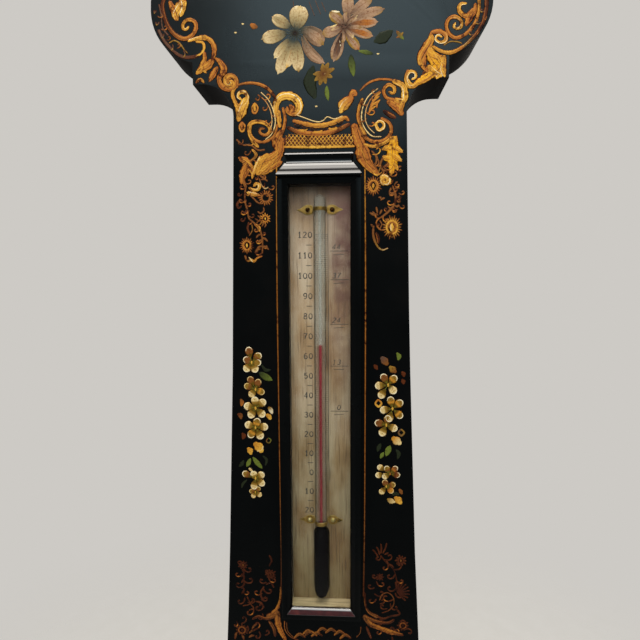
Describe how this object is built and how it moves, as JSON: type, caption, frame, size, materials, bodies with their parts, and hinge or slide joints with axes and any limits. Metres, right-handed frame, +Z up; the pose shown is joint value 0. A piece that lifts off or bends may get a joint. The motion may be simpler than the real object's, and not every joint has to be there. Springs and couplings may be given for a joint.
{
  "type": "banjo barometer",
  "caption": "Black-lacquered banjo barometer with a boxed thermometer in the neck, hinged dial bezel, weather hand on a float pulley, geared set hand and a hinged back door.",
  "frame": {"origin": "centre of the hanging hole, on the wall plane", "axes": "+Z up along the case, +Y into the wall, the dial faces -Y, +X to the right seen from the front"},
  "size_m": [0.28, 0.0525, 1.0316],
  "materials": {
    "black_lacquer": "gloss black lacquer over wood",
    "case_wood": "stained softwood, satin",
    "mahogany": "polished mahogany",
    "pale_wood": "pale boxwood, satin",
    "cork": "matt cork",
    "brass": "lacquered brass",
    "old_brass": "aged brass",
    "silvered_brass": "silvered brass, brushed",
    "steel": "polished steel",
    "blued_steel": "blued steel",
    "window_glass": "clear glass",
    "tube_glass": "clear glass",
    "red_spirit": "dyed spirit",
    "mercury": "liquid metal",
    "silk": "silk thread",
    "bone": "turned bone"
  },
  "bodies": {
    "case": {"carcass": "case_wood", "face_panel": "black_lacquer", "hanger_plate": "old_brass", "hanger_screws": "old_brass", "thermometer_frame": "black_lacquer", "thermometer_cornice": "black_lacquer", "thermometer_pane": "window_glass", "thermometer_lining": "pale_wood", "scale_plate": "silvered_brass", "thermometer_tube": "tube_glass", "thermometer_spirit": "red_spirit", "tube_straps": "brass", "strap_pins": "brass", "dial_plate": "silvered_brass", "dial_screws": "brass", "bezel_hinge_plate": "brass", "bezel_hinge_pin": "steel", "bezel_hinge_screws": "brass", "counter_tube": "tube_glass", "siphon_tube": "tube_glass", "mercury": "mercury", "cork_blocks": "cork", "arbor_cock": "brass", "cock_screws": "steel", "rod_brackets": "brass", "key_bush": "brass", "door_case_leaf": "brass", "door_hinge_pin": "steel", "case_leaf_screws": "steel", "button_screw": "steel", "upper_tube_cover": "mahogany", "lower_tube_cover": "mahogany", "cover_screws": "old_brass"},
    "bezel": {"bezel": "brass", "dial_glass": "window_glass", "glass_ring": "brass", "catch_peg": "brass"},
    "hand": {"indicator_hand": "blued_steel", "hand_arbor": "steel", "pulley": "brass", "thread_turn": "silk"},
    "float": {"float_plunger": "tube_glass", "float_thread": "silk"},
    "counterweight": {"counterweight": "tube_glass", "counter_thread": "silk"},
    "set_key": {"key_knob": "bone", "key_shaft": "steel", "key_wheel": "brass"},
    "set_rod": {"setting_rod": "steel", "rod_upper_wheel": "brass", "rod_lower_wheel": "brass"},
    "set_hand": {"set_hand": "brass", "set_pipe": "brass", "set_wheel": "brass"},
    "back_door": {"back_door": "mahogany", "door_leaf": "brass", "door_leaf_screws": "steel"},
    "turn_button": {"turn_button": "brass"}
  },
  "joints": [
    {"name": "bezel_hinge", "type": "hinge", "parent": "case", "child": "bezel", "pos_m": [-0.1167, -0.0343, -0.799], "axis": [0, 0, -1], "range_deg": [0, 105]},
    {"name": "hand_turn", "type": "hinge", "parent": "case", "child": "hand", "pos_m": [0, 0, -0.799], "axis": [0, 1, 0], "range_deg": [-180, 120]},
    {"name": "float_slide", "type": "slide", "parent": "case", "child": "float", "axis": [0, 0, 1], "range_m": [-0.0154, 0.023], "deforming": ["float_thread", "mercury"]},
    {"name": "counterweight_slide", "type": "slide", "parent": "case", "child": "counterweight", "axis": [0, 0, 1], "range_m": [-0.023, 0.0154], "deforming": ["counter_thread"]},
    {"name": "set_key_turn", "type": "hinge", "parent": "case", "child": "set_key", "pos_m": [0, 0, -0.927], "axis": [0, 1, 0], "continuous": true},
    {"name": "set_rod_turn", "type": "hinge", "parent": "case", "child": "set_rod", "pos_m": [0, -0.02075, -0.849], "axis": [0, 0, 1], "continuous": true},
    {"name": "set_hand_turn", "type": "hinge", "parent": "case", "child": "set_hand", "pos_m": [0, 0, -0.799], "axis": [0, 1, 0], "continuous": true},
    {"name": "back_door_hinge", "type": "hinge", "parent": "case", "child": "back_door", "pos_m": [-0.0986, 0.0006, -0.799], "axis": [0, 0, 1], "range_deg": [0, 110]},
    {"name": "turn_button_turn", "type": "hinge", "parent": "case", "child": "turn_button", "pos_m": [0.106, 0, -0.799], "axis": [0, -1, 0], "range_deg": [0, 90]}
  ],
  "couplings": [
    {"joint": "float_slide", "follows": "hand_turn", "m_per_rad": -0.0072766},
    {"joint": "counterweight_slide", "follows": "hand_turn", "m_per_rad": 0.0072766},
    {"joint": "set_rod_turn", "follows": "set_key_turn", "ratio": 1},
    {"joint": "set_hand_turn", "follows": "set_key_turn", "ratio": -1}
  ]
}
